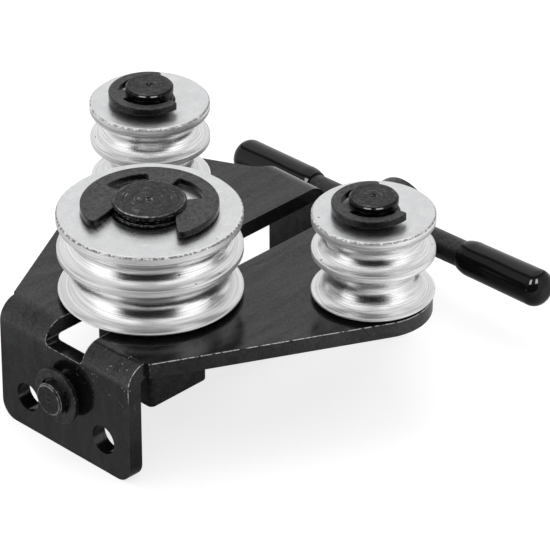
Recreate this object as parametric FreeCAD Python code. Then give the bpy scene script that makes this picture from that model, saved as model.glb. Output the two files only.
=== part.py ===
"""Brake pipe bender: a bent plate, two fixed rollers, a former on a screw driven carriage.

Frame: X runs along the screw from the front flange to the handle, Y to the left, Z up.
The origin lies midway between the two mounting holes, on the front flange's outer face.
All sizes are in mm.
"""
import FreeCAD
import Part
import math
import os

os.makedirs("parts", exist_ok=True)

# Base plate: one strip of sheet with a flange bent down at each end
sheet = 4.0
bend_outer = 5.5
plate_length = 96.0
plate_height = 32.0
flange_width = 45.0
flange_corner = 4.5
shoulder_x = 5.8
shoulder_width = 47.2
arm_radius = 14.5
rear_edge_angle = 26.0
rear_fillet = 6.0
plate_edge_round = 0.35
slot_width = 13.0
slot_end_drop = 5.2
slot_corner = 1.5
mount_hole = 7.5
mount_spacing = 26.6
mount_height = 8.8
flange_bottom = -mount_height
plate_top = flange_bottom + plate_height

# Screw, its hub and the sliding handle
screw_height = 7.57
screw_diameter = 10.0
journal_diameter = 8.4
screw_front = -5.3
screw_chamfer = 0.45
thread_chamfer = 0.5
thread_start_gap = 0.6
thrust_washer_thickness = 1.0
thrust_washer_diameter = 20.0
hub_diameter = 20.0
hub_neck = 15.0
hub_neck_length = 9.5
hub_front_wall = 6.0
hub_rear_wall = 6.0
hub_edge = 0.9
bar_x = plate_length + thrust_washer_thickness + hub_neck_length + hub_front_wall
bar_diameter = 7.0
bar_length = 104.0
bar_offset = 0.2
bar_tilt = -2.0
screw_end_wall = 1.2
spring_pin_diameter = 3.0
spring_pin_wall = 0.5
spring_pin_slit = 0.6

# Handle grips: dipped caps pushed over the bar's ends, swelling from mouth to tip
grip_length = 27.1
grip_mouth_wall = 0.45
grip_shoulder_wall = 1.1
grip_shoulder_length = 4.0
grip_tip_wall = 1.3
grip_end_wall = 1.5
grip_end_round = 3.4

# Small rollers on fixed pins
small_x = 66.0
small_y = 38.65
small_radius = 15.0
small_washer = 0.8
small_washer_diameter = 24.0
small_top_rim = 2.4
small_pin_diameter = 12.0
small_pin_stand = 4.4
small_spigot = 10.0
rivet_diameter = 13.0
rivet_height = 1.0

# Former roller on the carriage pin
former_x = 29.0
former_radius = 22.5
former_washer = 1.0
former_washer_diameter = 34.0
former_top_rim = 2.3
former_pin_diameter = 18.1
former_pin_stand = 3.0
former_spigot = 12.0

# Groove set shared by all three rollers, measured up from the plate's top face
wide_groove_bottom = 1.7
wide_groove = 10.0
wide_groove_depth = 4.4
middle_rim = 1.6
narrow_groove = 7.2
narrow_groove_depth = 3.1
groove_edge_round = 0.3
roller_chamfer = 0.5

# Carriage block that carries the former pin and the screw's nut thread
block_size = 19.0
block_depth = 9.6
block_bottom = screw_height - block_depth
block_corner = 1.5
block_edge = 0.4
spigot_floor = 1.2

# Retaining clips: sizes across, gap of the mouth at the groove and how far its sides spread,
# half angles of the lug at the back and of the windows' front ends, and the mouth's direction
small_clip = dict(groove=10.0, outer=19.7, thick=1.7, lift=1.05, ring=2.5, set_back=0.4,
                  gap=8.5, spread=56.0, back_lug=17.0, side_lug=68.0, tip=0.8, corner=0.5,
                  opening=-22.0)
former_clip = dict(groove=15.0, outer=33.4, thick=1.5, lift=0.6, ring=3.5, set_back=0.25,
                   gap=14.0, spread=18.8, back_lug=17.0, side_lug=113.0, tip=1.4, corner=0.8,
                   opening=210.5)
journal_clip = dict(groove=7.0, outer=14.4, thick=0.9, lift=0.0, ring=2.4, set_back=0.2,
                    gap=5.84, spread=0.0, back_lug=20.0, side_lug=85.0, tip=0.5, corner=0.3,
                    opening=150.0)
left_clip_opening = -29.5
clip_edge = 0.15
journal_clip_standoff = 2.25

# Named clearances
running_fit = 0.05
journal_fit = 0.1
washer_fit = 0.15
slide_fit = 0.2
plate_fit = 0.4

# Edges
pin_chamfer = 0.5
bore_chamfer = 0.4
centre_mark = 0.9
overshoot = 1.0

X = FreeCAD.Vector(1, 0, 0)
Y = FreeCAD.Vector(0, 1, 0)
Z = FreeCAD.Vector(0, 0, 1)
ORIGIN = FreeCAD.Vector(0, 0, 0)


def vec(x, y, z):
    return FreeCAD.Vector(x, y, z)


def rod(diameter, start, axis, length):
    """Plain cylinder from a start point along an axis."""
    return Part.makeCylinder(diameter / 2, length, start, axis)


def turned(profile, base, axis):
    """Solid turned about an axis from (radius, height) points; two more numbers after a point
    are the middle of an arc to the next one."""
    edges = []
    for here, after in zip(profile, profile[1:] + profile[:1]):
        start = vec(here[0], 0, here[1])
        end = vec(after[0], 0, after[1])
        if len(here) == 4:
            edges.append(Part.Arc(start, vec(here[2], 0, here[3]), end).toShape())
        else:
            edges.append(Part.LineSegment(start, end).toShape())
    face = Part.Face(Part.Wire(edges))
    solid = face.revolve(ORIGIN, Z, 360)
    solid.Placement = FreeCAD.Placement(base, FreeCAD.Rotation(Z, axis))
    return solid


def round_edges(solid, radius, chosen):
    """Fillet the edges that a test picks."""
    edges = [edge for edge in solid.Edges if chosen(edge)]
    return solid.makeFillet(radius, edges)


def runs_along(edge, axis):
    """True for a straight edge parallel to an axis."""
    if not isinstance(edge.Curve, Part.Line):
        return False
    return abs(abs(edge.Curve.Direction.dot(axis)) - 1) < 1e-6


def save(shape, name):
    """Clean a solid, check it and write its file."""
    solid = shape.removeSplitter()
    if solid.ShapeType == "Compound" and len(solid.Solids) == 1:
        solid = solid.Solids[0]
    if len(solid.Solids) != 1 or not solid.isValid():
        raise ValueError("%s is not one valid solid" % name)
    solid.exportStep("parts/%s.step" % name)
    print("%-20s %8.1f mm3" % (name, solid.Volume))


def washer(inner, outer, base, axis, thickness):
    """Flat ring."""
    ring = rod(outer, base, axis, thickness)
    hole = rod(inner, base - axis * overshoot, axis, thickness + 2 * overshoot)
    return ring.cut(hole)


def arm_outline():
    """Plan outline of the plate: shoulder, oblique edge, arm end and rear fillet on each side."""
    half_front = flange_width / 2
    half_shoulder = shoulder_width / 2
    angle = math.radians(rear_edge_angle)
    to_arm = math.atan2(small_y - half_shoulder, small_x - shoulder_x)
    reach = math.hypot(small_y - half_shoulder, small_x - shoulder_x)
    oblique = to_arm + math.asin(arm_radius / reach)

    def on_arm(direction):
        return (small_x + arm_radius * math.cos(direction),
                small_y + arm_radius * math.sin(direction))

    front_tangent = on_arm(oblique + math.pi / 2)
    rear_tangent = on_arm(angle)
    arm_middle = on_arm((oblique + math.pi / 2 + angle) / 2)
    corner_x = rear_tangent[0] + (rear_tangent[1] - half_front) * math.tan(angle)
    set_back = rear_fillet * math.tan((math.pi / 2 - angle) / 2)
    fillet_start = (corner_x - set_back * math.sin(angle), half_front + set_back * math.cos(angle))
    fillet_end = (corner_x + set_back, half_front)
    fillet_centre = (fillet_end[0], half_front + rear_fillet)
    middle = 1.5 * math.pi - (math.pi / 2 - angle) / 2
    fillet_middle = (fillet_centre[0] + rear_fillet * math.cos(middle),
                     fillet_centre[1] + rear_fillet * math.sin(middle))

    def side(sign):
        def at(point):
            return vec(point[0], sign * point[1], 0)
        return [
            Part.LineSegment(at((-overshoot, half_front)), at((shoulder_x, half_front))),
            Part.LineSegment(at((shoulder_x, half_front)), at((shoulder_x, half_shoulder))),
            Part.LineSegment(at((shoulder_x, half_shoulder)), at(front_tangent)),
            Part.Arc(at(front_tangent), at(arm_middle), at(rear_tangent)),
            Part.LineSegment(at(rear_tangent), at(fillet_start)),
            Part.Arc(at(fillet_start), at(fillet_middle), at(fillet_end)),
            Part.LineSegment(at(fillet_end), at((plate_length + overshoot, half_front))),
        ]

    def end(x):
        return Part.LineSegment(vec(x, -half_front, 0), vec(x, half_front, 0))

    curves = side(1) + side(-1) + [end(-overshoot), end(plate_length + overshoot)]
    edges = Part.__sortEdges__([curve.toShape() for curve in curves])
    return Part.Face(Part.Wire(edges))


def bent_strip():
    """The sheet's section along X, drawn with true bends and swept across the whole width."""
    inner = bend_outer - sheet
    low = plate_top - bend_outer
    far = plate_length - bend_outer
    diagonal = math.sqrt(0.5)
    under = plate_top - sheet

    def line(a, b):
        return Part.LineSegment(vec(a[0], 0, a[1]), vec(b[0], 0, b[1])).toShape()

    def bend(a, centre_x, radius, side, b):
        mid = vec(centre_x + side * radius * diagonal, 0, low + radius * diagonal)
        return Part.Arc(vec(a[0], 0, a[1]), mid, vec(b[0], 0, b[1])).toShape()

    edges = [
        line((0, flange_bottom), (0, low)),
        bend((0, low), bend_outer, bend_outer, -1, (bend_outer, plate_top)),
        line((bend_outer, plate_top), (far, plate_top)),
        bend((far, plate_top), far, bend_outer, 1, (plate_length, low)),
        line((plate_length, low), (plate_length, flange_bottom)),
        line((plate_length, flange_bottom), (plate_length - sheet, flange_bottom)),
        line((plate_length - sheet, flange_bottom), (plate_length - sheet, low)),
        bend((plate_length - sheet, low), far, inner, 1, (far, under)),
        line((far, under), (bend_outer, under)),
        bend((bend_outer, under), bend_outer, inner, -1, (sheet, low)),
        line((sheet, low), (sheet, flange_bottom)),
        line((sheet, flange_bottom), (0, flange_bottom)),
    ]
    width = 2 * (small_y + arm_radius + overshoot)
    face = Part.Face(Part.Wire(edges))
    face.translate(vec(0, -width / 2, 0))
    return face.extrude(vec(0, width, 0))


def base_plate():
    """Bent strip trimmed to the plan outline, then slotted and drilled."""
    prism = arm_outline().extrude(vec(0, 0, plate_height + 2 * overshoot))
    prism.translate(vec(0, 0, flange_bottom - overshoot))
    plate = bent_strip().common(prism)

    def lower_corner(edge):
        return runs_along(edge, X) and edge.BoundBox.ZMax < flange_bottom + 0.1

    plate = round_edges(plate, flange_corner, lower_corner)
    plate = round_edges(plate, plate_edge_round, top_rim_edge)
    slot_bottom = plate_top - slot_end_drop
    slot = Part.makeBox(plate_length + 2 * overshoot, slot_width, slot_end_drop + overshoot,
                        vec(-overshoot, -slot_width / 2, slot_bottom))
    slot = round_edges(slot, slot_corner,
                       lambda edge: runs_along(edge, X) and edge.BoundBox.ZMax < plate_top)
    plate = plate.cut(slot)
    front = -overshoot
    through = sheet + 2 * overshoot
    for side in (1, -1):
        plate = plate.cut(rod(mount_hole, vec(front, side * mount_spacing / 2, 0), X, through))
        plate = plate.cut(rod(small_spigot, vec(small_x, side * small_y, plate_top + overshoot),
                              -Z, through))
    plate = plate.cut(rod(journal_diameter + 2 * journal_fit, vec(front, 0, screw_height),
                          X, through))
    rear = vec(plate_length - sheet - overshoot, 0, screw_height)
    return plate.cut(rod(screw_diameter + 2 * journal_fit, rear, X, through))


def top_rim_edge(edge):
    """Upper rim of the flat arms, between the two bends."""
    box = edge.BoundBox
    flat = box.ZMin > plate_top - 0.01
    beside = min(abs(box.YMin), abs(box.YMax)) > flange_width / 2 - 0.1
    ahead = box.XMin > shoulder_x - 0.1 and box.XMax < plate_length - bend_outer - 0.1
    return flat and beside and ahead and not runs_along(edge, Y)


def roller(radius, bore, rest, top_rim):
    """Two-groove roller turned about its own axis; rest is the bottom face above the plate."""
    wide_top = wide_groove_bottom + wide_groove
    narrow_bottom = wide_top + middle_rim
    narrow_top = narrow_bottom + narrow_groove
    top = narrow_top + top_rim
    inner = bore / 2
    wide_middle = (wide_groove_bottom + wide_top) / 2
    narrow_middle = (narrow_bottom + narrow_top) / 2
    profile = [
        (inner + bore_chamfer, rest),
        (radius - bore_chamfer, rest),
        (radius, rest + bore_chamfer),
        (radius, wide_groove_bottom, radius - wide_groove_depth, wide_middle),
        (radius, wide_top),
        (radius, narrow_bottom, radius - narrow_groove_depth, narrow_middle),
        (radius, narrow_top),
        (radius, top - roller_chamfer),
        (radius - roller_chamfer, top),
        (inner + bore_chamfer, top),
        (inner, top - bore_chamfer),
        (inner, rest + bore_chamfer),
    ]
    solid = turned(profile, ORIGIN, Z)
    heights = (wide_groove_bottom, wide_top, narrow_bottom, narrow_top)

    def groove_lip(edge):
        box = edge.BoundBox
        full = box.XMax > radius - 1e-6
        return full and any(abs(box.ZMin - z) + abs(box.ZMax - z) < 1e-6 for z in heights)

    return round_edges(solid, groove_edge_round, groove_lip), top


def clip(spec, base, axis):
    """Open retaining clip: three lugs on the groove, two windows between them and a mouth."""
    groove = spec["groove"] / 2
    outer = spec["outer"] / 2
    thick = spec["thick"]
    deep = thick + 2 * overshoot
    reach = outer + 2 * overshoot
    low = vec(0, 0, -overshoot)
    rear = vec(-spec["set_back"], 0, 0)
    body = rod(spec["outer"], rear, Z, thick).cut(rod(spec["groove"], low, Z, deep))
    recess = rod(spec["outer"] - 2 * spec["ring"], rear + low, Z, deep)
    window = 180 - spec["back_lug"] - spec["side_lug"]
    for start in (spec["side_lug"], 180 + spec["back_lug"]):
        sector = Part.makeCylinder(reach, deep, low, Z, window)
        sector.rotate(ORIGIN, Z, start)
        body = body.cut(recess.common(sector))
    spread = math.tan(math.radians(spec["spread"]))
    half_gap = spec["gap"] / 2
    near = half_gap - spread * math.sqrt(groove ** 2 - half_gap ** 2)
    far = near + spread * reach
    corners = [vec(0, -near, 0), vec(reach, -far, 0), vec(reach, far, 0), vec(0, near, 0)]
    mouth = Part.Face(Part.makePolygon(corners + corners[:1])).extrude(vec(0, 0, deep))
    mouth.translate(low)
    body = body.cut(mouth)

    def tip(edge):
        foot = edge.Vertexes[0].Point - rear
        return runs_along(edge, Z) and abs(math.hypot(foot.x, foot.y) - outer) < 1e-6

    def window_corner(edge):
        foot = edge.Vertexes[0].Point - rear
        wall = outer - spec["ring"]
        return runs_along(edge, Z) and abs(math.hypot(foot.x, foot.y) - wall) < 1e-6

    body = round_edges(body, spec["tip"], tip)
    body = round_edges(body, spec["corner"], window_corner)
    rim = [edge for edge in body.Edges if edge.BoundBox.ZMin > thick - 1e-6]
    body = body.makeChamfer(clip_edge, rim)
    body.rotate(ORIGIN, Z, spec["opening"])
    body.Placement = FreeCAD.Placement(base, FreeCAD.Rotation(Z, axis)).multiply(body.Placement)
    return body


def centre_dimple(face_point, axis):
    """Small cone left by the lathe centre."""
    return Part.makeCone(0, centre_mark, centre_mark, face_point - axis * centre_mark, axis)


def headed_pin(diameter, top, groove_low, spec, base):
    """Upper part of a roller pin: body, clip groove, chamfered head and centre mark."""
    shaft = rod(diameter, base, Z, top - base.z)
    rim = [edge for edge in shaft.Edges if edge.BoundBox.ZMin > top - 1e-6]
    shaft = shaft.makeChamfer(pin_chamfer, rim)
    ring = washer(spec["groove"], diameter + 2 * overshoot,
                  vec(base.x, base.y, groove_low), Z, spec["thick"])
    return shaft.cut(ring).cut(centre_dimple(vec(base.x, base.y, top), Z))


def build_small_roller(name, side, clip_spec):
    """Fixed pin, washer, roller and clip of one arm."""
    foot = vec(small_x, side * small_y, plate_top)
    bore = small_pin_diameter + 2 * running_fit
    body, top = roller(small_radius, bore, small_washer, small_top_rim)
    body.translate(foot)
    save(body, "%s_roller" % name)
    save(washer(small_pin_diameter + 2 * washer_fit, small_washer_diameter, foot, Z,
                small_washer), "%s_roller_washer" % name)
    clip_low = plate_top + top + clip_spec["lift"]
    pin = headed_pin(small_pin_diameter, plate_top + top + small_pin_stand, clip_low,
                     clip_spec, foot)
    pin = pin.fuse(rod(small_spigot, foot, -Z, sheet))
    rivet = rod(rivet_diameter, foot - Z * sheet, -Z, rivet_height)
    rim = [edge for edge in rivet.Edges if edge.BoundBox.ZMax < plate_top - sheet - 1e-6
           and not runs_along(edge, Z)]
    pin = pin.fuse(rivet.makeFillet(rivet_height * 0.8, rim))
    save(pin, "%s_roller_pin" % name)
    save(clip(clip_spec, vec(foot.x, foot.y, clip_low), Z), "%s_roller_clip" % name)


def build_carriage():
    """Former roller with its pin, washer, clip and the block that the screw pulls."""
    foot = vec(former_x, 0, plate_top)
    bore = former_pin_diameter + 2 * running_fit
    body, top = roller(former_radius, bore, former_washer, former_top_rim)
    body.translate(foot)
    save(body, "former_roller")
    neck = slot_width - 2 * slide_fit
    save(washer(neck + 2 * washer_fit, former_washer_diameter, foot, Z, former_washer),
         "former_washer")
    clip_low = plate_top + top + former_clip["lift"]
    shoulder = foot + Z * former_washer
    pin = headed_pin(former_pin_diameter, plate_top + top + former_pin_stand, clip_low,
                     former_clip, shoulder)
    block_top = plate_top - sheet - plate_fit
    screw_bore = screw_diameter + 2 * running_fit
    spigot_low = screw_height + screw_bore / 2 + spigot_floor
    pin = pin.fuse(rod(neck, shoulder, -Z, shoulder.z - block_top))
    pin = pin.fuse(rod(former_spigot, vec(foot.x, 0, block_top), -Z, block_top - spigot_low))
    save(pin, "former_pin")
    save(clip(former_clip, vec(foot.x, 0, clip_low), Z), "former_clip")

    half = block_size / 2
    block = Part.makeBox(block_size, block_size, block_top - block_bottom,
                         vec(foot.x - half, -half, block_bottom))
    block = round_edges(block, block_corner, lambda edge: runs_along(edge, Z))
    block = round_edges(block, block_edge,
                        lambda edge: abs(edge.BoundBox.ZMax - edge.BoundBox.ZMin) < 1e-6)
    block = block.cut(rod(screw_bore, vec(foot.x - half - overshoot, 0, screw_height), X,
                          block_size + 2 * overshoot))
    block = block.cut(rod(former_spigot, vec(foot.x, 0, block_top + overshoot), -Z,
                          block_top + overshoot - spigot_low))
    save(block, "carriage_block")


def build_spindle():
    """Feed screw with its front clip, hub, thrust washer and spring pin."""
    screw_end = bar_x - bar_diameter / 2 - screw_end_wall
    journal = journal_diameter / 2
    thread = screw_diameter / 2
    step = sheet + thread_start_gap
    groove_rear = -journal_clip_standoff
    groove_front = groove_rear - journal_clip["thick"]
    groove = journal_clip["groove"] / 2
    profile = [
        (0, screw_front),
        (journal - screw_chamfer, screw_front),
        (journal, screw_front + screw_chamfer),
        (journal, groove_front),
        (groove, groove_front),
        (groove, groove_rear),
        (journal, groove_rear),
        (journal, step),
        (thread - thread_chamfer, step),
        (thread, step + thread_chamfer),
        (thread, screw_end - thread_chamfer),
        (thread - thread_chamfer, screw_end),
        (0, screw_end),
    ]
    axis_point = vec(0, 0, screw_height)
    screw = turned(profile, axis_point, X)
    screw = screw.cut(centre_dimple(vec(screw_front, 0, screw_height), -X))

    hub_front = plate_length + thrust_washer_thickness
    head_front = bar_x - hub_front_wall
    hub_rear = bar_x + hub_rear_wall
    hub = turned([
        (thread, hub_front),
        (hub_neck / 2 - hub_edge, hub_front),
        (hub_neck / 2, hub_front + hub_edge),
        (hub_neck / 2, head_front),
        (hub_diameter / 2 - hub_edge, head_front),
        (hub_diameter / 2, head_front + hub_edge),
        (hub_diameter / 2, hub_rear - hub_edge),
        (hub_diameter / 2 - hub_edge, hub_rear),
        (0, hub_rear),
        (0, screw_end),
        (thread, screw_end),
    ], axis_point, X)
    bar_bore = bar_diameter + 2 * running_fit
    hub = hub.cut(rod(bar_bore, vec(bar_x, -hub_diameter, screw_height), Y, 2 * hub_diameter))
    hub = hub.cut(centre_dimple(vec(hub_rear, 0, screw_height), X))

    pin_x = (hub_front + head_front) / 2
    pin_low = vec(pin_x, 0, screw_height - hub_neck / 2)
    cross = rod(spring_pin_diameter, pin_low - Z * overshoot, Z, hub_neck + 2 * overshoot)
    save(turned_to_rest(screw.cut(cross)), "feed_screw")
    save(turned_to_rest(hub.cut(cross)), "handle_hub")
    inset = spring_pin_wall
    length = hub_neck - 2 * inset
    low = pin_low + Z * inset
    spring = washer(spring_pin_diameter - 2 * spring_pin_wall, spring_pin_diameter, low, Z, length)
    slit = Part.makeBox(spring_pin_diameter, spring_pin_slit, length + 2 * overshoot,
                        low + vec(0, -spring_pin_slit / 2, -overshoot))
    save(turned_to_rest(spring.cut(slit)), "hub_spring_pin")
    save(washer(screw_diameter + 2 * washer_fit, thrust_washer_diameter,
                vec(plate_length, 0, screw_height), X, thrust_washer_thickness), "thrust_washer")
    save(clip(journal_clip, vec(groove_rear, 0, screw_height), -X), "spindle_clip")


def turned_to_rest(shape):
    """Turn a piece of the spindle about the screw to where the cross bar rests."""
    shape.rotate(vec(0, 0, screw_height), X, bar_tilt)
    return shape


def build_handle():
    """Sliding bar with a dipped cap on each end."""
    middle = vec(bar_x, bar_offset, screw_height)
    bar = rod(bar_diameter, middle - Y * (bar_length / 2), Y, bar_length)
    ends = [edge for edge in bar.Edges if not runs_along(edge, Y)]
    save(turned_to_rest(bar.makeChamfer(pin_chamfer, ends)), "tommy_bar")
    inner = bar_diameter / 2
    tip = bar_length / 2 + grip_end_wall
    mouth = tip - grip_length
    shoulder = inner + grip_shoulder_wall
    outer = inner + grip_tip_wall
    bulge = (inner + grip_mouth_wall + 2 * shoulder) / 3
    chord = outer - grip_end_round
    sweep = grip_end_round * math.sqrt(0.5)
    profile = [
        (inner, mouth),
        (inner + grip_mouth_wall, mouth, bulge, mouth + grip_shoulder_length / 3),
        (shoulder, mouth + grip_shoulder_length),
        (outer, tip - grip_end_round, chord + sweep, tip - grip_end_round + sweep),
        (chord, tip),
        (0, tip),
        (0, bar_length / 2),
        (inner - pin_chamfer, bar_length / 2),
        (inner, bar_length / 2 - pin_chamfer),
    ]
    save(turned_to_rest(turned(profile, middle, Y)), "left_grip")
    save(turned_to_rest(turned(profile, middle, -Y)), "right_grip")


save(base_plate(), "base_plate")
build_small_roller("left", 1, dict(small_clip, opening=left_clip_opening))
build_small_roller("right", -1, small_clip)
build_carriage()
build_spindle()
build_handle()
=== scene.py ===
"""Studio picture of the brake pipe bender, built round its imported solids. Lengths are in metres."""
import bpy
import math
from mathutils import Matrix, Vector


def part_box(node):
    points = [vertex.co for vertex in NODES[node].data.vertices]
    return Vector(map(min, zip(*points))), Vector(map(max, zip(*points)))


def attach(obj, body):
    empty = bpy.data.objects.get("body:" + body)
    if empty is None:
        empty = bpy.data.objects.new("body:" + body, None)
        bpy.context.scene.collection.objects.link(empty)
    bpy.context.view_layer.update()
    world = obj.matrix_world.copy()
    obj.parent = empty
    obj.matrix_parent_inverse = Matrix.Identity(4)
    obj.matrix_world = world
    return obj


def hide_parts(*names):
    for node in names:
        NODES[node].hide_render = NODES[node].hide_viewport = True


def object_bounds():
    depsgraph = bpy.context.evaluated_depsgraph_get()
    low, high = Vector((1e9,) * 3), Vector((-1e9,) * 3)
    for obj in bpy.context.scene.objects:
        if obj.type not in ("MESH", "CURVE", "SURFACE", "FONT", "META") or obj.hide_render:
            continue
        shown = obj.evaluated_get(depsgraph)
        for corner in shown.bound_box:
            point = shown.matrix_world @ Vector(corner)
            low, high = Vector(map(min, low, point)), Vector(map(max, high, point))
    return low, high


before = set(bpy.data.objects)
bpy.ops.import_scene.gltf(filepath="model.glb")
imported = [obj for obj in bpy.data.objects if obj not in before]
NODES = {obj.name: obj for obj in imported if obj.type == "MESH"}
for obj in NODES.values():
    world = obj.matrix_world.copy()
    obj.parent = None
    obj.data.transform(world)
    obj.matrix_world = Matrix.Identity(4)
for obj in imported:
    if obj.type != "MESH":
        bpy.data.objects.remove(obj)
CAD_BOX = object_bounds()
MM = 0.001

# Camera, from the photograph's own perspective. Its azimuth is the way it looks, from +X to +Y.
CAMERA_AZIMUTH = math.radians(45.051)
CAMERA_ELEVATION = math.radians(31.405)
CAMERA_ROLL = math.radians(-0.187)
CAMERA_DISTANCE = 1126.44 * MM
CAMERA_TARGET = Vector((70.345, -0.928, 10.171)) * MM
CAMERA_NEAREST = 0.05
CAMERA_FARTHEST = 20.0
FOCAL_PIXELS = 4540.5
FRAME_PIXELS = 550
SENSOR_WIDTH = 36.0                     # millimetres

# Plate: where its paint is worn, and where highlights are painted on its edges
PLATE_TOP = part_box("base_plate")[1].z
FLANGE_HALF = 22.5 * MM                 # half the width of the front flange
BEND_LINE_HEIGHT = 13.5 * MM            # the bare metal and painted highlight on the bend's right edge start here, below the bend
SLOT_LINE_REACH = 12.0 * MM                   # how near the flange and the middle the slot's edge is worn and given painted highlight

# Screw: its turned front end and its thread
SCREW_LOW, SCREW_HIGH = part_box("feed_screw")
SCREW_FRONT = SCREW_LOW.x
SCREW_HEIGHT = (SCREW_LOW.z + SCREW_HIGH.z) / 2
JOURNAL_RADIUS = 4.2 * MM
JOURNAL_CHAMFER = 0.45 * MM
CLIP_GROOVE = [corner.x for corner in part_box("spindle_clip")]
CLIP_GROOVE_RADIUS = 3.5 * MM
CENTRE_MARK = 0.55 * MM
THREAD_START = 4.6 * MM
THREAD_END = 100.2 * MM
THREAD_RADIUS = (SCREW_HIGH.z - SCREW_LOW.z) / 2
THREAD_PITCH = 1.5 * MM
THREAD_DEPTH = 0.92 * MM
RUNOUT_HEIGHT = 0.25                    # share of its depth that the thread has where it ends
JOURNAL_SIDES = 72
THREAD_SIDES = 48
SHARP_ANGLE = math.radians(28.0)

# Roller pins. The small pins' boxes take in their rivet heads, so the radii are given here.
FORMER_PIN_RADIUS = 9.05 * MM
SMALL_PIN_RADIUS = 6.0 * MM
PIN_CHAMFER = 0.5 * MM
PIN_MARK_RADIUS = 0.62 * MM
PIN_WEAR_AZIMUTH = math.radians(205.0)  # the side of a pin's rim that is rubbed most

# Materials
SIDE_GLOSS = 0.40                       # share of its gloss that a sheared or turned side keeps
VINYL_GLOSS = 0.34
EDGE_SAMPLES = 6                        # how often the rounding of an edge is sampled

# Studio: soft boxes stand either side of a dark gap at the camera
FRONT_AZIMUTH = math.radians(223.0)     # the middle of the gap, from +X to +Y
GAP_HALF = 42.0                         # degrees
WORLD_LIGHT = 0.78                      # strength of the even light all round
NOT_ZERO = 1e-5                         # keeps a length that is divided by from zero
TABLE_SIZE = 6.0
TABLE_DROP = 0.02 * MM
TABLE_MATT = 0.42                       # this much of the white that the camera sees takes shadow,
TABLE_GLOW = 0.74                       # and this much doesn't
TABLE_BOUNCE = 0.8                      # how pale the table is to light that it sends back
GROOVE_HEIGHT = 40.0 * MM               # how high the rollers' grooves stand over the table


# Scene and node helpers
def add_object(name, data):
    """Adds a new object to the scene."""
    made = bpy.data.objects.new(name, data)
    bpy.context.scene.collection.objects.link(made)
    return made


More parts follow.
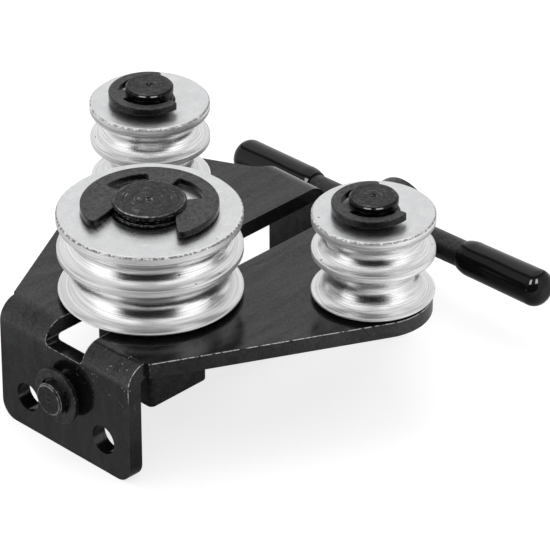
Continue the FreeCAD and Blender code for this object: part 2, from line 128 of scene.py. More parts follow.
class Graph:
    """A node tree with short calls for the nodes used here. Values are numbers or sockets."""

    def __init__(self, tree):
        self.tree = tree
        tree.nodes.clear()

    def feed(self, target, value):
        """Links a socket to an input, or sets the input to a plain value."""
        if isinstance(value, bpy.types.NodeSocket):
            self.tree.links.new(value, target)
        else:
            target.default_value = value

    def node(self, kind, inputs=None, **settings):
        """Adds a shader node. Its inputs are given by name or number."""
        made = self.tree.nodes.new("ShaderNode" + kind)
        for key, value in settings.items():
            setattr(made, key, value)
        for key, value in (inputs or {}).items():
            self.feed(made.inputs[key], value)
        return made

    def math(self, operation, *values):
        return self.node("Math", dict(enumerate(values)), operation=operation).outputs[0]

    def chain(self, operation, first, others):
        """Takes values together two by two."""
        for other in others:
            first = self.math(operation, first, other)
        return first

    def times(self, first, *others):
        return self.chain("MULTIPLY", first, others)

    def plus(self, first, *others):
        return self.chain("ADD", first, others)

    def most(self, first, *others):
        return self.chain("MAXIMUM", first, others)

    def minus(self, first, second):
        return self.math("SUBTRACT", first, second)

    def distance(self, x, y):
        """Length of a line with these two legs."""
        return self.math("SQRT", self.plus(self.times(x, x), self.times(y, y)))

    def ramp(self, value, low, high, start=0.0, end=1.0, smooth=True):
        """Start where the value is low, end where it is high. Low may be the larger number."""
        kind = "SMOOTHSTEP" if smooth else "LINEAR"
        inputs = {"Value": value, "From Min": low, "From Max": high, "To Min": start, "To Max": end}
        return self.node("MapRange", inputs, interpolation_type=kind).outputs["Result"]

    def window(self, value, rise, full, last, gone):
        """0 up to rise, 1 from full to last and 0 again from gone on."""
        return self.times(self.ramp(value, rise, full), self.ramp(value, gone, last))

    def near(self, value, middle, full, gone):
        """1 where the value is within full of the middle, 0 where it is farther off than gone."""
        return self.ramp(self.math("ABSOLUTE", self.minus(value, middle)), gone, full)

    def turned_from(self, around, azimuth):
        """Angle between two directions round the same axis, either way, in radians."""
        return self.math("ARCCOSINE", self.math("COSINE", self.minus(around, azimuth)))

    def combine(self, x, y, z):
        return self.node("CombineXYZ", {"X": x, "Y": y, "Z": z}).outputs[0]

    def axes(self, vector):
        """The x, y and z of a vector."""
        return self.node("SeparateXYZ", {0: vector}).outputs

    def place(self):
        """Position on the object, at rest."""
        return self.node("TexCoord").outputs["Object"]

    def facing(self):
        """The x, y and z of the surface's normal, at rest."""
        return self.axes(self.node("TexCoord").outputs["Normal"])

    def noise(self, vector, scale, detail, rough, distortion=0.0):
        inputs = {"Vector": vector, "Scale": scale, "Detail": detail, "Roughness": rough,
                  "Distortion": distortion}
        return self.node("TexNoise", inputs).outputs[0]

    def blend(self, factor, first, second):
        """Mixes two numbers."""
        return self.node("Mix", {0: factor, 2: first, 3: second}).outputs[0]

    def mix(self, factor, first, second):
        """Mixes two colours."""
        return self.node("Mix", {0: factor, 6: first, 7: second}, data_type="RGBA").outputs[2]

    def bump(self, height, strength, distance, normal=None):
        inputs = {"Height": height, "Strength": strength, "Distance": distance}
        if normal is not None:
            inputs["Normal"] = normal
        return self.node("Bump", inputs).outputs[0]

    def rounded_normal(self, radius):
        """The surface's normal as if its sharp edges were rounded off."""
        return self.node("Bevel", {"Radius": radius}, samples=EDGE_SAMPLES).outputs[0]

    def edge_mask(self, rounded, low, high):
        """1 on sharp edges and 0 on faces, from how far the rounded normal turns from the true."""
        true = self.node("NewGeometry").outputs["Normal"]
        same = self.node("VectorMath", {0: rounded, 1: true}, operation="DOT_PRODUCT")
        return self.ramp(self.minus(1.0, same.outputs["Value"]), low, high)

    def along_rings(self, first, second, around, fineness, wander, detail):
        """Noise drawn out round an axis, without a seam where the angle wraps."""
        turn_x = self.times(self.math("COSINE", around), wander)
        turn_y = self.times(self.math("SINE", around), wander)
        spread = self.combine(self.plus(self.times(first, fineness), turn_x),
                              self.plus(self.times(second, fineness), turn_y),
                              self.minus(turn_x, turn_y))
        return self.noise(spread, scale=1.0, detail=detail, rough=0.62)

    def specks(self, place, scale, share, size):
        """Small round dots on a share of the cells of a Voronoi pattern."""
        cells = self.node("TexVoronoi", {"Vector": place, "Scale": scale, "Randomness": 1.0})
        pick = self.node("SeparateColor", {0: cells.outputs["Color"]}).outputs[0]
        chosen = self.ramp(pick, 1.0 - share, 1.0 - share + 0.01)
        return self.times(self.ramp(cells.outputs["Distance"], size, size * 0.4), chosen)

    def polar(self, centre):
        """Distance and angle round an upright axis, and height, at rest."""
        axes = self.axes(self.place())
        x = self.minus(axes[0], centre.x)
        y = self.minus(axes[1], centre.y)
        return self.distance(x, y), self.math("ARCTAN2", y, x), axes[2]


def grey(value, warm=0.0):
    """Neutral colour, with a slight warm or cool cast."""
    return (value * (1 + warm), value, value * (1 - warm), 1.0)


def new_material(name):
    """A material with one plain shader, its graph and the shader's inputs."""
    material = bpy.data.materials.new(name)
    material.use_nodes = True
    graph = Graph(material.node_tree)
    shader = graph.node("BsdfPrincipled")
    graph.node("OutputMaterial", {"Surface": shader.outputs[0]})
    return material, graph, shader.inputs


# Camera
def make_camera():
    """Places the camera at the photograph's viewpoint."""
    data = bpy.data.cameras.new("camera")
    data.sensor_width = SENSOR_WIDTH
    data.lens = FOCAL_PIXELS / FRAME_PIXELS * SENSOR_WIDTH
    data.clip_start = CAMERA_NEAREST
    data.clip_end = CAMERA_FARTHEST
    level = math.cos(CAMERA_ELEVATION)
    back = Vector((-math.cos(CAMERA_AZIMUTH) * level, -math.sin(CAMERA_AZIMUTH) * level,
                   math.sin(CAMERA_ELEVATION)))
    right = Vector((math.sin(CAMERA_AZIMUTH), -math.cos(CAMERA_AZIMUTH), 0.0))
    rolled_right = math.cos(CAMERA_ROLL) * right + math.sin(CAMERA_ROLL) * back.cross(right)
    turn = Matrix((rolled_right, back.cross(rolled_right), back)).transposed()
    camera = add_object("camera", data)
    camera.location = CAMERA_TARGET + back * CAMERA_DISTANCE
    camera.rotation_mode = "QUATERNION"
    camera.rotation_quaternion = turn.to_quaternion()
    bpy.context.scene.camera = camera


# Plate
def bare_and_highlit_edges(graph, place, spot, facing):
    """Mask of bare metal and painted highlight on the plate's top edges, the bend's right end and the
    slot's front end.
    """
    # The rounded top edges, bare metal and painted highlight, most on the right arm, whose edges face
    # -Y towards the camera
    top = graph.ramp(graph.minus(PLATE_TOP, spot[2]), 0.45 * MM, 0.25 * MM)
    tilt = graph.window(facing[2], 0.35, 0.55, 0.85, 0.93)
    side = graph.ramp(facing[1], 0.05, -0.25, start=0.30, end=1.0)
    top_line = graph.times(top, tilt, side)

    # The rounded corner that runs down the right end of the bend: bare metal and painted highlight
    right_end = graph.ramp(spot[1], -FLANGE_HALF + 0.34 * MM, -FLANGE_HALF + 0.16 * MM)
    in_bend = graph.ramp(spot[0], 5.4 * MM, 4.6 * MM)
    slanting = graph.ramp(facing[1], -0.8, -0.5)
    upwards = graph.ramp(spot[2], BEND_LINE_HEIGHT, BEND_LINE_HEIGHT + 3.0 * MM,
                         start=0.03, end=0.9)
    bend_line = graph.times(right_end, in_bend, slanting, upwards)

    # The sharp edges of the slot's front end: painted highlight and bare metal
    sharp = graph.edge_mask(graph.rounded_normal(0.45 * MM), 0.02, 0.14)
    slot_front = graph.ramp(spot[0], SLOT_LINE_REACH + 4.0 * MM, SLOT_LINE_REACH, start=0.05, end=0.8)
    slot_sides = graph.ramp(graph.math("ABSOLUTE", spot[1]), SLOT_LINE_REACH, SLOT_LINE_REACH - 2.0 * MM)
    slot_top = graph.ramp(spot[2], 8.0 * MM, 12.0 * MM)
    slot_line = graph.times(sharp, slot_front, slot_sides, slot_top)

    broken = graph.ramp(graph.noise(place, scale=950.0, detail=4.0, rough=0.7), 0.40, 0.54)
    return graph.times(graph.most(top_line, bend_line, slot_line), broken)


def bend_grit(graph, place, spot):
    """Mask of pale specks: a few everywhere, and many in patches on the bend, most on the right."""
    area = graph.times(graph.ramp(spot[0], 9.0 * MM, 3.0 * MM),
                       graph.ramp(spot[2], 10.0 * MM, 16.0 * MM),
                       graph.ramp(spot[1], 2.0 * MM, -12.0 * MM, start=0.15, end=1.0))
    patches = graph.ramp(graph.noise(place, scale=260.0, detail=2.0, rough=0.5), 0.48, 0.66)
    strength = graph.plus(graph.times(area, patches, 0.55), 0.02)
    return graph.times(graph.specks(place, scale=1500.0, share=0.22, size=0.36), strength)


def paint_material():
    """Gloss black paint with orange peel, dust specks, and bare metal and painted highlight along its
    sharp edges.
    """
    material, graph, inputs = new_material("gloss_black_paint")
    place = graph.place()
    spot = graph.axes(place)
    # Pale marks: bare metal with painted highlight along the edges, and dust specks
    bare_and_highlit = graph.times(bare_and_highlit_edges(graph, place, spot, graph.facing()), 0.9)
    pale_marks_and_highlights = graph.most(bare_and_highlit, bend_grit(graph, place, spot))
    cloud = graph.noise(place, scale=45.0, detail=4.0, rough=0.55)
    tint = graph.mix(graph.ramp(cloud, 0.35, 0.7), grey(0.0050), grey(0.0085))
    graph.feed(inputs["Base Color"], graph.mix(pale_marks_and_highlights, tint, grey(0.60, 0.01)))

    # Wiped-on dulling, in long faint strokes
    drawn_out = graph.node("Mapping", {"Vector": place, "Rotation": (0.0, 0.0, 0.9),
                                       "Scale": (60.0, 420.0, 200.0)}).outputs[0]
    strokes = graph.noise(drawn_out, scale=1.0, detail=5.0, rough=0.65, distortion=0.4)
    mottle = graph.noise(place, scale=2100.0, detail=4.0, rough=0.7)
    gloss = graph.plus(graph.ramp(strokes, 0.30, 0.70, start=0.36, end=0.58),
                       graph.ramp(mottle, 0.34, 0.66, start=-0.17, end=0.17))
    graph.feed(inputs["Roughness"], graph.ramp(strokes, 0.30, 0.75, start=0.12, end=0.24))
    graph.feed(inputs["Specular IOR Level"], gloss)

    # Orange peel
    peel = graph.noise(place, scale=620.0, detail=2.0, rough=0.5)
    grain = graph.noise(place, scale=2400.0, detail=3.0, rough=0.65)
    normal = graph.bump(peel, strength=0.16, distance=0.10 * MM)
    normal = graph.bump(grain, strength=0.14, distance=0.04 * MM, normal=normal)
    graph.feed(inputs["Normal"], normal)
    return material


# Rollers
def top_tint(graph, stain, blotch, grain):
    """Colour of a roller's dull pale top face."""
    tint = graph.mix(graph.ramp(stain, 0.35, 0.7), grey(0.80, -0.008), grey(0.88, -0.008))
    blotches = graph.times(graph.ramp(blotch, 0.54, 0.70), 0.45)
    tint = graph.mix(blotches, tint, grey(0.62, -0.006))
    return graph.mix(graph.times(graph.ramp(grain, 0.45, 0.75), 0.40), tint, grey(0.66, -0.006))


def roller_material(node, rough, grained, rim_shade, edge_line):
    """Turned bright metal: tool marks run round the axis, and the top face is paler and duller.

    Rim_shade is the strength of painted shade in a band under the rim, and edge_line is the strength
    of a broken dark line under the rim's top edge.
    """
    material, graph, inputs = new_material("turned_" + node)
    low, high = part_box(node)
    radius = (high.y - low.y) / 2
    place = graph.place()
    out, around, height = graph.polar((low + high) / 2)
    depth = graph.minus(high.z, height)
    up = graph.facing()[2]
    flat = graph.times(graph.ramp(up, 0.93, 0.99), graph.ramp(depth, 0.6 * MM, 0.2 * MM))
    rim = graph.ramp(graph.minus(radius, out), 0.5 * MM, 0.2 * MM)
    lips = graph.times(graph.ramp(up, 0.45, 0.80), graph.minus(1.0, flat))

    # Rings, which follow the turned profile on walls and faces alike, and finer marks
    rising = graph.plus(out, height)
    falling = graph.minus(out, height)
    streak = graph.along_rings(rising, falling, around, fineness=3400.0, wander=1.1, detail=3.0)
    lines = graph.along_rings(rising, falling, around, fineness=1900.0, wander=1.1, detail=3.0)
    broad = graph.along_rings(rising, falling, around, fineness=1100.0, wander=1.2, detail=4.0)
    turned = graph.plus(graph.times(streak, 0.45), graph.times(lines, 0.55))
    grain = graph.noise(place, scale=4200.0, detail=3.0, rough=0.7)
    blotch = graph.noise(place, scale=1300.0, detail=4.0, rough=0.6)
    stain = graph.noise(place, scale=300.0, detail=5.0, rough=0.62)

    ring_tint = graph.mix(graph.ramp(turned, 0.40, 0.60), grey(0.68), grey(0.97))
    grains = graph.times(graph.ramp(grain, 0.50, 0.72), grained * 0.45)
    ring_tint = graph.mix(grains, ring_tint, grey(0.40))
    # Painted shade: a darker, streaky band under the top rim
    shade = graph.times(graph.window(depth, 1.1 * MM, 1.4 * MM, 2.3 * MM, 2.8 * MM),
                        graph.ramp(turned, 0.60, 0.44, start=0.35, end=1.0), rim_shade)
    ring_tint = graph.mix(shade, ring_tint, grey(0.22))
    tint = graph.mix(flat, ring_tint, top_tint(graph, stain, blotch, grain))

    # Nicks, as specks everywhere, and a broken dark line under the top edge
    nicks = graph.times(graph.specks(place, scale=420.0, share=0.07, size=0.16), 0.8)
    dark_rim_line = graph.times(graph.window(depth, 0.10 * MM, 0.24 * MM, 0.52 * MM, 0.66 * MM),
                       graph.ramp(blotch, 0.40, 0.54), edge_line)
    graph.feed(inputs["Base Color"], graph.mix(graph.most(nicks, dark_rim_line), tint, grey(0.08)))

    # The rim and the lips are less metallic, and the rim and the top face are duller
    lip_share = 0.35 * (1.0 - rim_shade)
    softened = graph.plus(graph.times(rim, 0.20), graph.times(lips, lip_share))
    graph.feed(inputs["Metallic"], graph.minus(1.0, softened))
    matt = graph.plus(graph.times(flat, 0.13), graph.times(rim, 0.16))
    ring_rough = graph.ramp(broad, 0.3, 0.7, start=rough, end=rough + 0.10)
    graph.feed(inputs["Roughness"], graph.plus(matt, ring_rough))
    inputs["Anisotropic"].default_value = 0.6
    tangent = graph.node("Tangent", direction_type="RADIAL", axis="Z").outputs[0]
    graph.feed(inputs["Tangent"], tangent)
    normal = graph.bump(broad, strength=0.10, distance=0.06 * MM)
    normal = graph.bump(turned, strength=0.45, distance=0.06 * MM, normal=normal)
    normal = graph.bump(grain, strength=grained, distance=0.03 * MM, normal=normal)
    graph.feed(inputs["Normal"], normal)
    return material


# Steel
class Steel:
    """Blackened steel, satin, with rubbed edges. Its layers can be added to before it is finished.

    Faces that look along the axis, 0 for x and 2 for z, are grainier and catch more light than
    the sides. Where the axis is None, all faces do.
    """

    def __init__(self, name, dark, rough, wear, edge, gloss, axis=2):
        self.material, self.graph, self.inputs = new_material(name)
        graph = self.graph
        self.place = graph.place()
        self.facing = graph.facing()
        cloud = graph.noise(self.place, scale=260.0, detail=5.0, rough=0.65)
        fine = graph.noise(self.place, scale=3000.0, detail=3.0, rough=0.7)
        self.coarse = graph.noise(self.place, scale=900.0, detail=3.0, rough=0.6)
        patches = graph.noise(self.place, scale=1100.0, detail=4.0, rough=0.7)
        flat = 1.0
        if axis is not None:
            flat = graph.ramp(graph.math("ABSOLUTE", self.facing[axis]), 0.72, 0.95)

        rounded = graph.rounded_normal(edge)
        self.patch = graph.ramp(patches, 0.46, 0.60)
        edges = graph.times(graph.edge_mask(rounded, 0.02, 0.16), self.patch, wear)
        grit = graph.specks(self.place, scale=900.0, share=0.05, size=0.22)
        self.rubbed = graph.most(edges, graph.times(grit, 0.3 * wear))
        self.tint = graph.mix(graph.ramp(cloud, 0.3, 0.7), grey(dark * 0.6, 0.02),
                              grey(dark * 1.5, 0.02))

        grained = graph.plus(0.10, graph.times(flat, 0.22))
        normal = graph.bump(self.coarse, strength=grained, distance=0.10 * MM, normal=rounded)
        self.normal = graph.bump(fine, strength=grained, distance=0.05 * MM, normal=normal)
        satin = graph.ramp(cloud, 0.3, 0.75, start=rough - 0.08, end=rough + 0.10)
        matt = graph.plus(0.45, graph.times(flat, 0.55))
        graph.feed(self.inputs["Roughness"], graph.times(satin, matt))
        mottle = graph.plus(graph.times(fine, 0.6), graph.times(self.coarse, 0.4))
        mottled = graph.ramp(mottle, 0.38, 0.62, start=gloss * 0.45, end=gloss * 1.55)
        facing_gloss = graph.plus(SIDE_GLOSS, graph.times(flat, 1.0 - SIDE_GLOSS))
        self.shine = graph.times(mottled, facing_gloss)

    def rub(self, mask):
        """Adds rubbed metal where the mask is."""
        self.rubbed = self.graph.most(self.rubbed, mask)

    def finish(self, bright=None, level=0.0):
        """Sets the shader's inputs. Bright is a mask of painted highlight, on the screw also rubbed
        metal, laid on at this grey level.
        """
        graph = self.graph
        colour = graph.mix(self.rubbed, self.tint, grey(0.45, 0.01))
        if bright is not None:
            colour = graph.mix(bright, colour, grey(level))
        graph.feed(self.inputs["Base Color"], colour)
        graph.feed(self.inputs["Specular IOR Level"], self.shine)
        graph.feed(self.inputs["Normal"], self.normal)
        return self.material


def pin_material(node, radius, wear):
    """Turned black pin: lathe rings on its top, a rubbed rim, and painted glints that are stronger
    the less worn the pin is.
    """
    steel = Steel("turned_" + node, dark=0.0035, rough=0.26, wear=wear, edge=0.3 * MM, gloss=0.31)
    graph = steel.graph
    up = steel.facing[2]
    rim = radius - PIN_CHAMFER
    low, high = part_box(node)
    out, around, height = graph.polar((low + high) / 2)

    # Lathe rings and the ring round the centre mark
    rings = graph.along_rings(out, height, around, fineness=3400.0, wander=0.8, detail=2.0)
    arcs = graph.ramp(graph.noise(steel.place, scale=520.0, detail=3.0, rough=0.6), 0.50, 0.62)
    scratches = graph.times(graph.ramp(rings, 0.58, 0.64), graph.ramp(up, 0.9, 0.99), arcs)
    steel.rub(graph.times(scratches, 0.55 * wear))
    centre_ring = graph.near(out, PIN_MARK_RADIUS, 0.08 * MM, 0.24 * MM)
    steel.rub(graph.times(centre_ring, steel.patch, 0.9 * wear))
    steel.normal = graph.bump(rings, strength=0.35, distance=0.05 * MM, normal=steel.normal)
    steel.shine = graph.times(steel.shine, graph.ramp(rings, 0.40, 0.60, start=0.70, end=1.30))

    # A rubbed line round the rim, strongest on one side
    rim_line = graph.times(graph.near(out, rim, 0.06 * MM, 0.22 * MM), graph.ramp(up, 0.3, 0.6))
    towards = graph.math("COSINE", graph.minus(around, PIN_WEAR_AZIMUTH))
    front = graph.ramp(towards, 0.70, 0.92, start=0.22, end=1.0)
    broken = graph.ramp(steel.coarse, 0.36, 0.60, start=0.25, end=1.0)
    steel.rub(graph.times(rim_line, front, broken, wear * wear))

    # Painted glints: two short bright dashes on the outer edge of the chamfer, either side of the
    # front
    dashes = graph.window(graph.turned_from(around, FRONT_AZIMUTH), 0.08, 0.13, 0.34, 0.44)
    lip = graph.times(graph.window(up, 0.45, 0.60, 0.85, 0.95),
                      graph.ramp(out, rim + 0.22 * MM, rim + 0.34 * MM))
    return steel.finish(bright=graph.times(dashes, lip, 1.0 - wear), level=0.70)


def screw_material():
    """Oiled dark steel with bright rings at the edges of the front end's chamfer: rubbed metal and
    painted highlight.
    """
    steel = Steel("oiled_screw", dark=0.006, rough=0.30, wear=0.7, edge=0.3 * MM, gloss=0.42,
                  axis=None)
    graph = steel.graph
    axes = graph.axes(steel.place)
    out = graph.distance(axes[1], graph.minus(axes[2], SCREW_HEIGHT))
    # Bright rings at the chamfer's inner and outer edges: rubbed metal and painted highlight
    inner = graph.near(out, JOURNAL_RADIUS - JOURNAL_CHAMFER, 0.06 * MM, 0.16 * MM)
    outer = graph.near(out, JOURNAL_RADIUS, 0.06 * MM, 0.16 * MM)
    front = graph.ramp(axes[0], SCREW_FRONT + 0.60 * MM, SCREW_FRONT + 0.50 * MM)
    broken = graph.ramp(graph.noise(steel.place, scale=900.0, detail=3.0, rough=0.6), 0.36, 0.60)
    rings = graph.times(graph.most(inner, outer), front, broken)
    return steel.finish(bright=graph.times(rings, 0.8), level=0.30)


# Grips and washers
def vinyl_material(name, top_from, side_gloss):
    """Dipped vinyl with slight waviness, and a painted reflection: a glossy top, black sides and a
    darker line between.

    The top starts where the z of the surface's normal rises above top_from.
    """
    material, graph, inputs = new_material(name)
    place = graph.place()
    facing = graph.facing()
    up = facing[2]
    cloud = graph.noise(place, scale=70.0, detail=3.0, rough=0.5)
    sway = graph.noise(place, scale=150.0, detail=3.0, rough=0.6)
    # Painted reflection: the gloss falls from the top to the sides with the tilt of the normal, and
    # is lowest on a line between
    edge = graph.plus(up, graph.times(graph.minus(sway, 0.5), 0.06))
    sides = graph.ramp(edge, top_from, top_from - 0.05)
    painted_dark_line = graph.times(sides, graph.ramp(edge, top_from - 0.14, top_from - 0.08))

    # Painted glints: two short bright marks where the dip rounds a corner towards the front
    around = graph.math("ARCTAN2", facing[1], facing[0])
    dashes = graph.window(graph.turned_from(around, FRONT_AZIMUTH), 0.14, 0.20, 0.32, 0.40)
    painted_glints = graph.times(dashes, graph.window(up, 0.56, 0.62, 0.74, 0.80))
    tint = graph.mix(graph.ramp(cloud, 0.3, 0.7), grey(0.0045, 0.02), grey(0.0075, 0.02))
    graph.feed(inputs["Base Color"], graph.mix(painted_glints, tint, grey(0.50)))
    graph.feed(inputs["Roughness"], graph.ramp(cloud, 0.3, 0.7, start=0.07, end=0.13))
    gloss = graph.minus(VINYL_GLOSS, graph.times(sides, VINYL_GLOSS - side_gloss))
    gloss = graph.minus(gloss, graph.times(painted_dark_line, side_gloss - 0.03))
    graph.feed(inputs["Specular IOR Level"], gloss)

    wave = graph.noise(place, scale=200.0, detail=2.0, rough=0.5)
    pores = graph.noise(place, scale=2600.0, detail=2.0, rough=0.6)
    normal = graph.bump(wave, strength=0.16, distance=0.15 * MM)
    normal = graph.bump(pores, strength=0.12, distance=0.03 * MM, normal=normal)
    graph.feed(inputs["Normal"], normal)
    return material


def washer_material():
    """Dull zinc plating, seen only as the dark line under a roller."""
    material, graph, inputs = new_material("plated_washer")
    cloud = graph.noise(graph.place(), scale=500.0, detail=4.0, rough=0.6)
    graph.feed(inputs["Base Color"], graph.mix(cloud, grey(0.20), grey(0.34)))
    inputs["Metallic"].default_value = 1.0
    graph.feed(inputs["Roughness"], graph.ramp(cloud, 0.3, 0.7, start=0.38, end=0.52))
    graph.feed(inputs["Normal"], graph.bump(cloud, strength=0.1, distance=0.03 * MM))
    return material


def dress(material, *nodes):
    """Gives the objects of some nodes one material in all their slots."""
    for node in nodes:
        for slot in NODES[node].material_slots:
            slot.link = "OBJECT"
            slot.material = material


def dress_all():
    """Gives every node of the part its material."""
    dress(paint_material(), "base_plate")
    dress(roller_material("former_roller", rough=0.13, grained=0.55, rim_shade=0.0, edge_line=0.85),
          "former_roller")
    dress(pin_material("former_pin", FORMER_PIN_RADIUS, wear=1.0), "former_pin")
    for node in ("left_roller", "right_roller"):
        dress(roller_material(node, rough=0.17, grained=0.90, rim_shade=0.55, edge_line=0.7), node)
    for node in ("left_roller_pin", "right_roller_pin"):
        dress(pin_material(node, SMALL_PIN_RADIUS, wear=0.4), node)
    clip = Steel("phosphated_spring", dark=0.0045, rough=0.36, wear=0.5, edge=0.2 * MM, gloss=0.68)
    dress(clip.finish(), "left_roller_clip", "right_roller_clip", "former_clip", "hub_spring_pin")
    front_clip = Steel("phosphated_front_clip", dark=0.012, rough=0.36, wear=0.6, edge=0.25 * MM,
                       gloss=0.55, axis=0)
    dress(front_clip.finish(), "spindle_clip")
    plain = Steel("black_oxide", dark=0.010, rough=0.40, wear=0.3, edge=0.25 * MM, gloss=0.45,
                  axis=None)
    dress(plain.finish(), "carriage_block", "handle_hub", "tommy_bar")
    # The two vinyls differ in where the painted reflection's top starts and in how glossy its sides
    # are
    dress(vinyl_material("left_vinyl", top_from=0.90, side_gloss=0.26), "left_grip")
    dress(vinyl_material("right_vinyl", top_from=0.92, side_gloss=0.17), "right_grip")
    dress(washer_material(), "left_roller_washer", "right_roller_washer", "former_washer",
          "thrust_washer")


# Threaded screw
def lathe(points, sides, verts, faces):
    """Adds a closed turned form round the screw's axis from (radius, x) points."""
    start = len(verts)
    for radius, x in points:
        for side in range(sides):
            angle = 2 * math.pi * side / sides
            verts.append((x, radius * math.cos(angle), SCREW_HEIGHT + radius * math.sin(angle)))
    for row in range(len(points) - 1):
        for side in range(sides):
            after = (side + 1) % sides
            low = start + row * sides
            faces.append((low + side, low + after, low + sides + after, low + sides + side))


def helix(root, verts, faces):
    """Adds the thread as one strip along its helix: root, root, crest, crest, with flanks between."""
    profile = ((0.00, root), (0.12, root), (0.50, THREAD_RADIUS), (0.62, THREAD_RADIUS))
    count = len(profile)
    start = len(verts)
    turns = int((THREAD_END - THREAD_START) / THREAD_PITCH) + 2
    steps = turns * THREAD_SIDES
    for step in range(steps):
        angle = 2 * math.pi * step / THREAD_SIDES
        for share, radius in profile:
            x = THREAD_START + THREAD_PITCH * (step / THREAD_SIDES + share - 1.0)
            x = min(max(x, THREAD_START), THREAD_END)
            runout = min(x - THREAD_START, THREAD_END - x) / THREAD_PITCH
            kept = root + (radius - root) * min(1.0, RUNOUT_HEIGHT + runout)
            verts.append((x, kept * math.cos(angle), SCREW_HEIGHT + kept * math.sin(angle)))
    for step in range(steps - 1):
        here = start + step * count
        ahead = here + count
        for index in range(count - 1):
            faces.append((here + index, ahead + index, ahead + index + 1, here + index + 1))
        next_turn = here + THREAD_SIDES * count
        if step + THREAD_SIDES + 1 < steps:
            faces.append((here + count - 1, ahead + count - 1, next_turn + count, next_turn))


def make_screw():
    """The feed screw with its real thread and its turned front end, in place of the plain solid."""
    verts, faces = [], []
    groove_front, groove_back = CLIP_GROOVE
    root = THREAD_RADIUS - THREAD_DEPTH
    lathe([(0.0, SCREW_FRONT + CENTRE_MARK), (CENTRE_MARK, SCREW_FRONT),
           (JOURNAL_RADIUS - JOURNAL_CHAMFER, SCREW_FRONT),
           (JOURNAL_RADIUS, SCREW_FRONT + JOURNAL_CHAMFER), (JOURNAL_RADIUS, groove_front),
           (CLIP_GROOVE_RADIUS, groove_front), (CLIP_GROOVE_RADIUS, groove_back),
           (JOURNAL_RADIUS, groove_back), (JOURNAL_RADIUS, THREAD_START),
           (0.0, THREAD_START)], JOURNAL_SIDES, verts, faces)
    helix(root, verts, faces)
    cap = THREAD_END - 0.05 * MM
    lathe([(0.0, cap), (root, cap), (root, THREAD_END - THREAD_PITCH)], THREAD_SIDES, verts, faces)
    mesh = bpy.data.meshes.new("threaded_screw")
    mesh.from_pydata(verts, [], faces)
    mesh.validate()
    for face in mesh.polygons:
        face.use_smooth = True
    mesh.set_sharp_from_angle(angle=SHARP_ANGLE)
    mesh.materials.append(screw_material())
    screw = add_object("threaded_screw", mesh)
    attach(screw, "spindle")
    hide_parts("feed_screw")


# Studio. Angles in its pattern are degrees.
def from_front(graph, x, y):
    """Angle between a direction and the middle of the dark gap, seen from above."""
    length = graph.most(graph.distance(x, y), NOT_ZERO)
    along = graph.plus(graph.times(x, math.cos(FRONT_AZIMUTH)),
                       graph.times(y, math.sin(FRONT_AZIMUTH)))
    return graph.math("DEGREES", graph.math("ARCCOSINE", graph.math("DIVIDE", along, length)))


def studio_pattern(graph, away, elevation):
    """What polished metal sees, from how far a direction is turned from the front and how high."""
    # Pale walls, with bright soft boxes on both sides and a dimmer patch high over the front
    boxes = graph.times(graph.window(away, GAP_HALF - 2.0, GAP_HALF + 10.0, 66.0, 95.0),
                        graph.window(elevation, -30.0, -12.0, 35.0, 60.0))
    high_gap = graph.times(graph.ramp(away, 26.0, 12.0), graph.ramp(elevation, 82.0, 66.0))
    level = graph.minus(graph.plus(0.86, graph.times(boxes, 0.44)), graph.times(high_gap, 0.34))

    # The dark gap at the camera, and a bright strip over it
    low_gap = graph.times(graph.ramp(away, GAP_HALF + 5.0, GAP_HALF - 6.0),
                          graph.window(elevation, -19.0, -10.0, 32.0, 43.0))
    strip = graph.times(graph.window(away, 14.0, 18.0, 45.0, 50.0),
                        graph.window(elevation, 51.0, 54.0, 59.0, 62.0))
    dimmed = graph.times(level, graph.minus(1.0, graph.times(low_gap, 0.975)))
    return graph.plus(dimmed, graph.times(strip, 0.6))


def make_world():
    """Even light all round, white to the camera, and the studio's pattern in reflections."""
    world = bpy.data.worlds.new("studio")
    bpy.context.scene.world = world
    world.use_nodes = True
    graph = Graph(world.node_tree)
    way = graph.axes(graph.node("TexCoord").outputs["Generated"])
    elevation = graph.math("DEGREES", graph.math("ARCSINE", way[2]))
    pattern = studio_pattern(graph, from_front(graph, way[0], way[1]), elevation)
    path = graph.node("LightPath").outputs
    seen = graph.ramp(path["Is Glossy Ray"], 0.0, 1.0, start=WORLD_LIGHT, end=pattern, smooth=False)
    strength = graph.most(seen, path["Is Camera Ray"])
    shine = graph.node("Background", {"Color": grey(1.0), "Strength": strength})
    graph.node("OutputWorld", {"Surface": shine.outputs[0]})


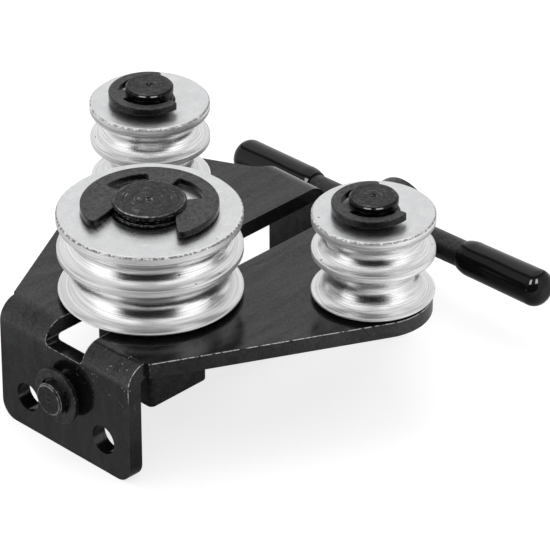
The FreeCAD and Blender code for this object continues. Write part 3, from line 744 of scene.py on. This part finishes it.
def table_reflection(graph):
    """What polished metal sees of the table: the studio's pattern, with painted shade near the part.
    """
    place = graph.axes(graph.place())
    middle = sum(corner.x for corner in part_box("carriage_block")) / 2
    x = graph.minus(place[0], middle)
    reach = graph.distance(x, place[1])
    away = from_front(graph, x, place[1])
    # From the height of the grooves, a point on the table is seen this far below the horizon
    drop = graph.math("DEGREES", graph.math("ARCTAN2", GROOVE_HEIGHT, reach))
    elevation = graph.times(drop, -1.0)

    # The table near the part is seen only by faces that look down. Painted shade makes it dim there,
    # and darkest under the plate.
    far = graph.plus(graph.ramp(away, 28.0, 50.0, start=0.50, end=0.82),
                     graph.ramp(away, 75.0, 100.0, start=0.0, end=-0.40))
    under = graph.times(graph.ramp(place[0], -4.0 * MM, 8.0 * MM),
                        graph.ramp(graph.math("ABSOLUTE", place[1]), 46.0 * MM, 26.0 * MM))
    close = graph.ramp(under, 0.0, 1.0, start=0.38, end=0.18)
    near_level = graph.blend(graph.ramp(reach, 60.0 * MM, 95.0 * MM), close, far)
    return graph.blend(graph.ramp(elevation, -17.0, -24.0),
                       studio_pattern(graph, away, elevation), near_level)


def make_floor():
    """White table: the camera sees it white with the object's soft shadow."""
    size = TABLE_SIZE
    height = CAD_BOX[0].z - TABLE_DROP
    mesh = bpy.data.meshes.new("floor")
    corners = [(-size, -size, height), (size, -size, height), (size, size, height),
               (-size, size, height)]
    mesh.from_pydata(corners, [], [(0, 1, 2, 3)])
    floor = add_object("floor", mesh)
    material = bpy.data.materials.new("white_table")
    material.use_nodes = True
    graph = Graph(material.node_tree)
    path = graph.node("LightPath").outputs
    matt = graph.node("BsdfDiffuse", {"Color": grey(TABLE_MATT)})
    glow = graph.node("Emission", {"Color": grey(1.0), "Strength": TABLE_GLOW})
    shown = graph.node("AddShader", {0: matt.outputs[0], 1: glow.outputs[0]})
    mirrored = graph.node("Emission", {"Color": grey(1.0), "Strength": table_reflection(graph)})
    plain = graph.node("BsdfDiffuse", {"Color": grey(TABLE_BOUNCE)})
    rest = graph.node("MixShader", {0: path["Is Glossy Ray"], 1: plain.outputs[0],
                                    2: mirrored.outputs[0]})
    final = graph.node("MixShader", {0: path["Is Camera Ray"], 1: rest.outputs[0],
                                     2: shown.outputs[0]})
    graph.node("OutputMaterial", {"Surface": final.outputs[0]})
    mesh.materials.append(material)


def make_lamp(name, place, aim, size, power):
    """A square soft light that metal doesn't mirror."""
    data = bpy.data.lights.new(name, "AREA")
    data.shape = "SQUARE"
    data.size = size
    data.energy = power
    lamp = add_object(name, data)
    lamp.location = place
    lamp.rotation_mode = "QUATERNION"
    lamp.rotation_quaternion = (Vector(aim) - Vector(place)).to_track_quat("-Z", "Y")
    lamp.visible_glossy = False


make_camera()
bpy.context.scene.view_settings.view_transform = "Standard"
make_world()
make_floor()
make_lamp("overhead", place=(0.15, 0.25, 1.1), aim=(0.06, 0.0, 0.0), size=0.8, power=3.4)
dress_all()
make_screw()
